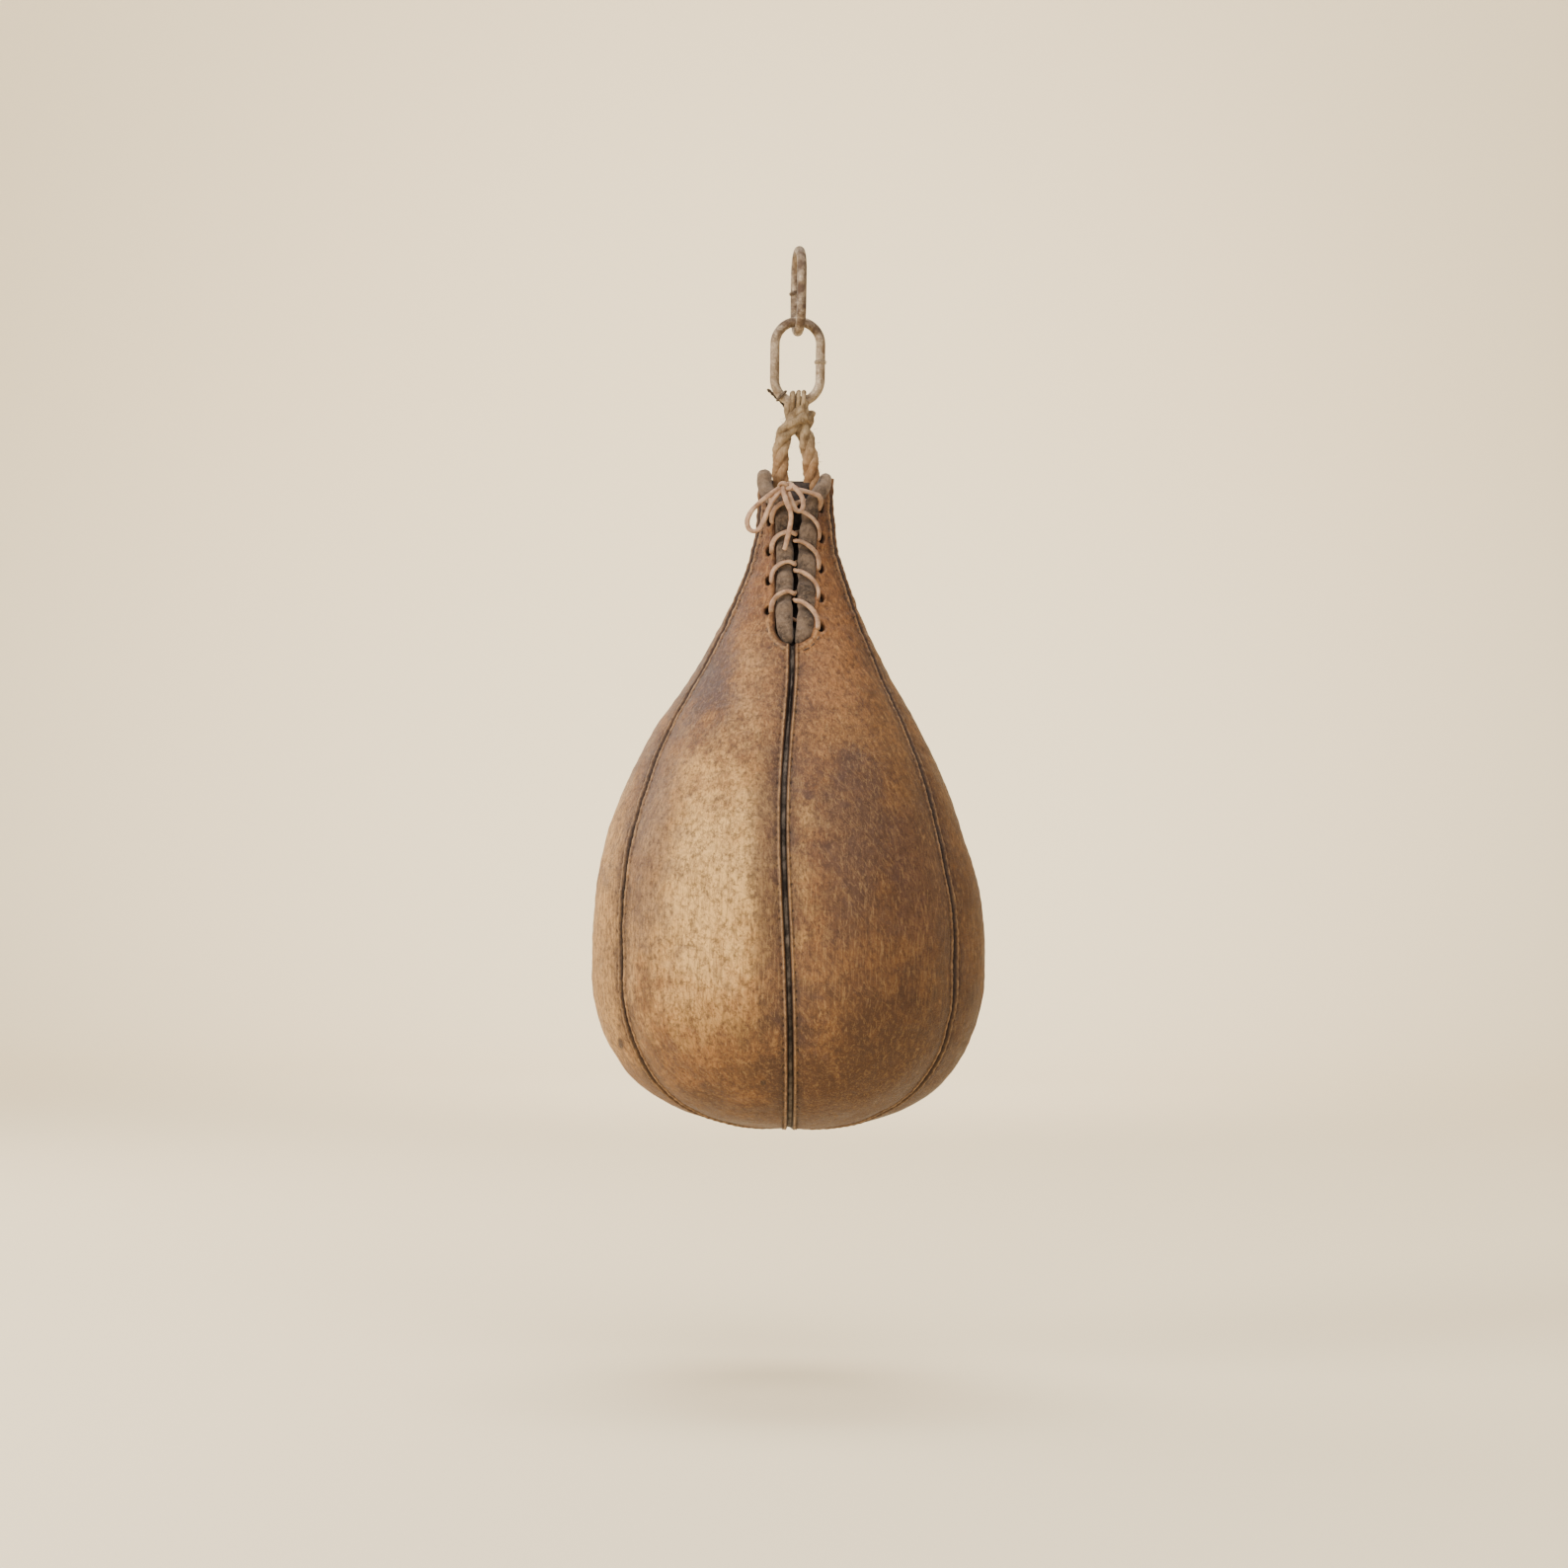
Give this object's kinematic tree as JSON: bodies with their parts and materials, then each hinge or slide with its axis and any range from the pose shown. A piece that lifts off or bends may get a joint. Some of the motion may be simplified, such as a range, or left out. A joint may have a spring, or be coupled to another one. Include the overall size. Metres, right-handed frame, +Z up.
{
  "type": "speed bag",
  "caption": "Teardrop leather speed bag with a laced throat, hung by a rope from two steel chain links.",
  "frame": {"origin": "where a hook bears on the upper chain link, at the top of the inside of its eye", "axes": "+Z up, away from the bag; -Y out of the laced front of the bag; +X to the right seen from the front"},
  "size_m": [0.2306, 0.2306, 0.5177],
  "materials": {
    "link_steel": "old zinc-plated steel gone dull, with tan rust and dark grime",
    "rope": "worn three-strand natural fibre rope",
    "dark_twine": "dirty old twine",
    "leather": "old brown glove leather, scuffed and cracked, with a soft polish",
    "welt_leather": "raw-edged leather welt, dirty",
    "thread": "waxed linen thread",
    "suede": "grey-brown suede, rubbed and dirty",
    "inner_leather": "dark leather, rough side out",
    "lace_leather": "pale rawhide thong",
    "canvas": "plain cotton duck",
    "bladder_rubber": "old red-brown rubber",
    "plug_wood": "turned hardwood, oiled"
  },
  "bodies": {
    "upper_link": {"upper_link": "link_steel"},
    "lower_link": {"oval_link": "link_steel", "link_twine": "dark_twine"},
    "bag": {"bladder": "bladder_rubber", "bottom_patch": "inner_leather", "bow_knot": "lace_leather", "bow_loop_left": "lace_leather", "bow_loop_right": "lace_leather", "facing_left": "suede", "facing_right": "suede", "facing_thread": "thread", "gore_back_left": "leather", "gore_back_right": "leather", "gore_front_left": "leather", "gore_front_right": "leather", "gore_left": "leather", "gore_right": "leather", "hanging_rope": "rope", "lace": "lace_leather", "lace_end": "lace_leather", "lining": "canvas", "neck_plug": "plug_wood", "seam_thread_back": "thread", "seam_thread_back_left": "thread", "seam_thread_back_right": "thread", "seam_thread_front": "thread", "seam_thread_front_left": "thread", "seam_thread_front_right": "thread", "stem_tie": "thread", "throat_collar": "inner_leather", "tongue": "inner_leather", "welt_back": "welt_leather", "welt_back_left": "welt_leather", "welt_back_right": "welt_leather", "welt_front": "welt_leather", "welt_front_left": "welt_leather", "welt_front_right": "welt_leather"}
  },
  "joints": [
    {"name": "link_swing", "type": "hinge", "parent": "upper_link", "child": "lower_link", "pos_m": [0, 0, -0.0446], "axis": [-0.1392, 0.9903, 0], "range_deg": [-70, 70]},
    {"name": "bag_swing", "type": "hinge", "parent": "lower_link", "child": "bag", "pos_m": [0, 0, -0.0861], "axis": [1, 0, 0], "range_deg": [-70, 70]}
  ]
}
